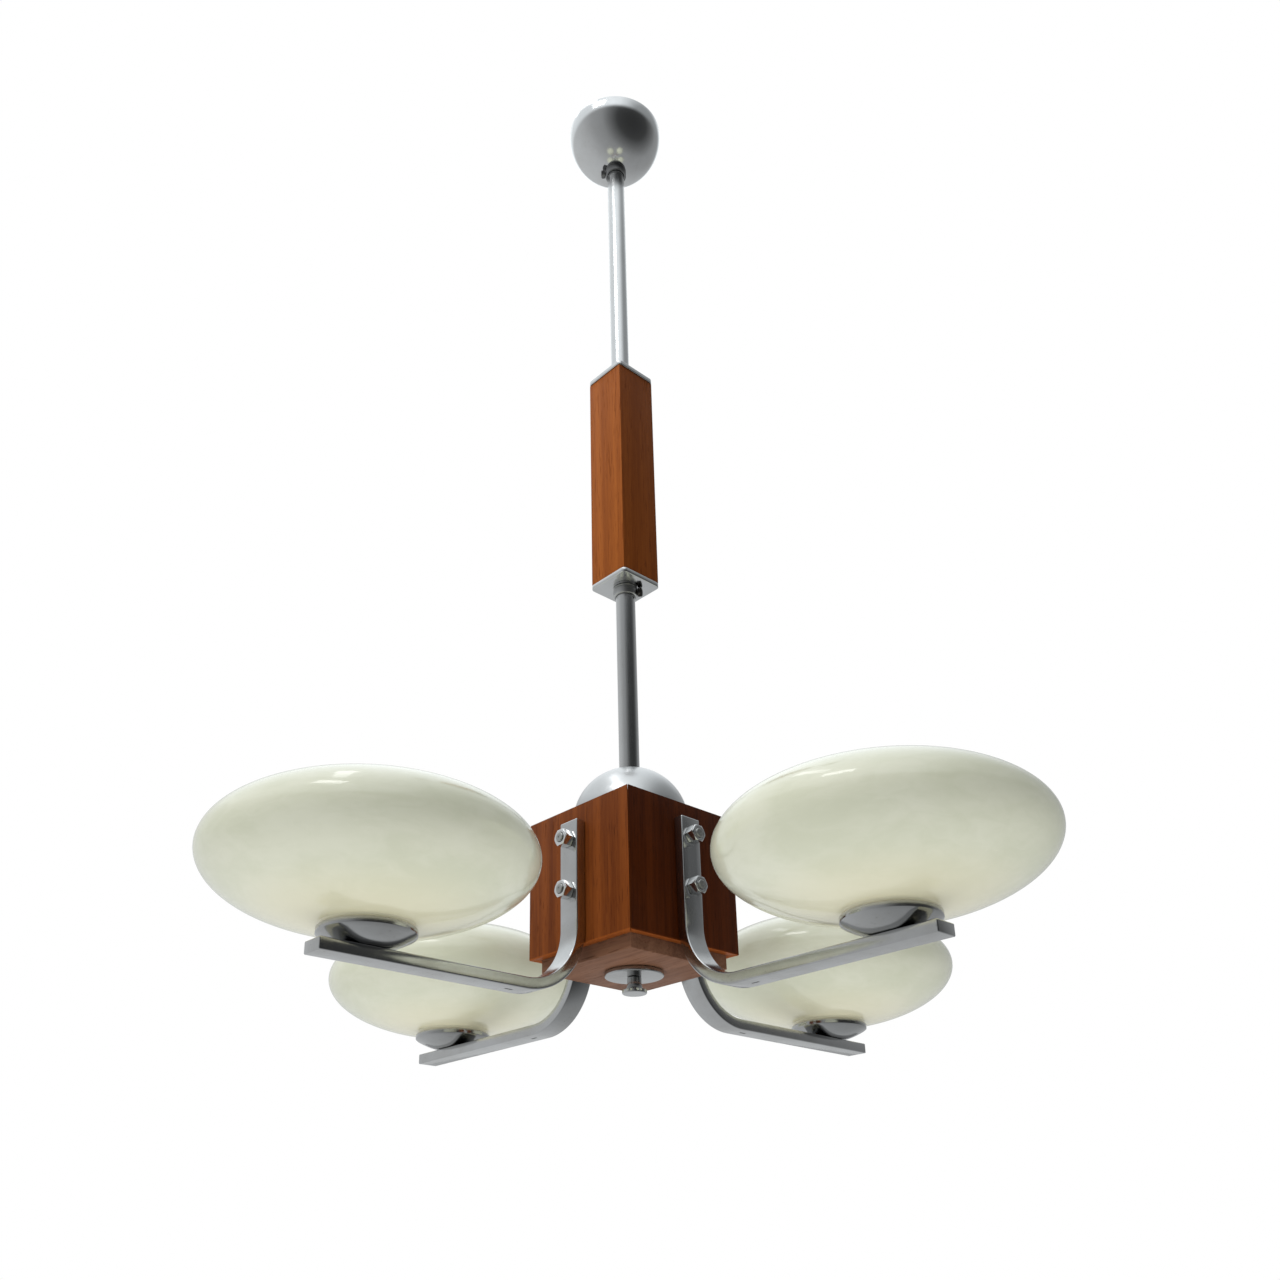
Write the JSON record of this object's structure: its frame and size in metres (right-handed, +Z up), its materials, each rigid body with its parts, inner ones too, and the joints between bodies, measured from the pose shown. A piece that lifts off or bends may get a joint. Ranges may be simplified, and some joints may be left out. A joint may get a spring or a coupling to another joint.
{
  "type": "multi arm chandelier",
  "caption": "Ceiling chandelier: a chromed stem hangs a square wooden box with bolted flat arms that carry closed, flattened opal glass shades in dishes.",
  "frame": {"origin": "where the stem's axis meets the ceiling, at the middle of the canopy's rim", "axes": "+Z up along the stem; arms along +X, +Y, -X and -Y"},
  "size_m": [0.7298, 0.7298, 0.9673],
  "materials": {
    "chrome": "polished chrome plate, a little aged",
    "steel": "plain zinc-plated steel",
    "dark_steel": "blackened steel",
    "veneer": "reddish-brown straight-grained veneer, satin lacquer",
    "board": "stained board, satin",
    "opal_glass": "glossy cream opal glass, opaque",
    "lampholder": "ivory moulded",
    "bulb_glass": "satin white",
    "plastic": "moulded, matt"
  },
  "bodies": {
    "fixture": {"stem": "chrome", "hanging_eye": "steel", "dome": "chrome", "box_top_board": "board", "base_board": "board", "stem_nut": "steel", "tie_rod": "steel", "base_washer": "chrome", "terminal_block": "plastic", "box_panel_1": "veneer", "box_panel_2": "veneer", "box_panel_3": "veneer", "box_panel_4": "veneer", "arm_1": "chrome", "arm_2": "chrome", "arm_3": "chrome", "arm_4": "chrome", "arm_nut_1_upper": "chrome", "arm_nut_1_lower": "chrome", "arm_nut_2_upper": "chrome", "arm_nut_2_lower": "chrome", "arm_nut_3_upper": "chrome", "arm_nut_3_lower": "chrome", "arm_nut_4_upper": "chrome", "arm_nut_4_lower": "chrome", "arm_bolt_1_upper": "steel", "arm_bolt_1_lower": "steel", "arm_bolt_2_upper": "steel", "arm_bolt_2_lower": "steel", "arm_bolt_3_upper": "steel", "arm_bolt_3_lower": "steel", "arm_bolt_4_upper": "steel", "arm_bolt_4_lower": "steel", "dish_1": "chrome", "dish_2": "chrome", "dish_3": "chrome", "dish_4": "chrome", "lampholder_1": "lampholder", "lampholder_2": "lampholder", "lampholder_3": "lampholder", "lampholder_4": "lampholder"},
    "canopy": {"canopy": "chrome", "canopy_collar": "dark_steel"},
    "canopy_screw": {"canopy_screw": "dark_steel"},
    "block": {"block_top_plate": "chrome", "block": "veneer", "block_bottom_plate": "chrome", "block_collar": "chrome"},
    "block_screw": {"block_screw": "dark_steel"},
    "knob": {"base_knob": "chrome"},
    "shade_1": {"shade_1": "opal_glass"},
    "bulb_1": {"bulb_1": "bulb_glass"},
    "shade_2": {"shade_2": "opal_glass"},
    "bulb_2": {"bulb_2": "bulb_glass"},
    "shade_3": {"shade_3": "opal_glass"},
    "bulb_3": {"bulb_3": "bulb_glass"},
    "shade_4": {"shade_4": "opal_glass"},
    "bulb_4": {"bulb_4": "bulb_glass"}
  },
  "joints": [
    {"name": "canopy_slide", "type": "slide", "parent": "fixture", "child": "canopy", "axis": [0, 0, -1], "range_m": [0, 0.12]},
    {"name": "canopy_screw_turn", "type": "hinge", "parent": "canopy", "child": "canopy_screw", "pos_m": [-0.00778, -0.00778, -0.05646], "axis": [-0.7071, -0.7071, 0], "range_deg": [0, 720]},
    {"name": "block_slide", "type": "slide", "parent": "fixture", "child": "block", "axis": [0, 0, 1], "range_m": [-0.06, 0.06]},
    {"name": "block_screw_turn", "type": "hinge", "parent": "block", "child": "block_screw", "pos_m": [0.00867, 0.00677, -0.5811], "axis": [0.788, 0.6157, 0], "range_deg": [0, 720]},
    {"name": "knob_turn", "type": "hinge", "parent": "fixture", "child": "knob", "pos_m": [0, 0, -0.9389], "axis": [0, 0, -1], "range_deg": [0, 3240]},
    {"name": "shade_1_lift", "type": "slide", "parent": "fixture", "child": "shade_1", "axis": [0, 0, 1], "range_m": [0, 0.09]},
    {"name": "bulb_1_turn", "type": "hinge", "parent": "fixture", "child": "bulb_1", "pos_m": [0.2475, 0, -0.9453], "axis": [0, 0, 1], "range_deg": [0, 1080]},
    {"name": "shade_2_lift", "type": "slide", "parent": "fixture", "child": "shade_2", "axis": [0, 0, 1], "range_m": [0, 0.09]},
    {"name": "bulb_2_turn", "type": "hinge", "parent": "fixture", "child": "bulb_2", "pos_m": [0, 0.2475, -0.9453], "axis": [0, 0, 1], "range_deg": [0, 1080]},
    {"name": "shade_3_lift", "type": "slide", "parent": "fixture", "child": "shade_3", "axis": [0, 0, 1], "range_m": [0, 0.09]},
    {"name": "bulb_3_turn", "type": "hinge", "parent": "fixture", "child": "bulb_3", "pos_m": [-0.2475, 0, -0.9453], "axis": [0, 0, 1], "range_deg": [0, 1080]},
    {"name": "shade_4_lift", "type": "slide", "parent": "fixture", "child": "shade_4", "axis": [0, 0, 1], "range_m": [0, 0.09]},
    {"name": "bulb_4_turn", "type": "hinge", "parent": "fixture", "child": "bulb_4", "pos_m": [0, -0.2475, -0.9453], "axis": [0, 0, 1], "range_deg": [0, 1080]}
  ]
}
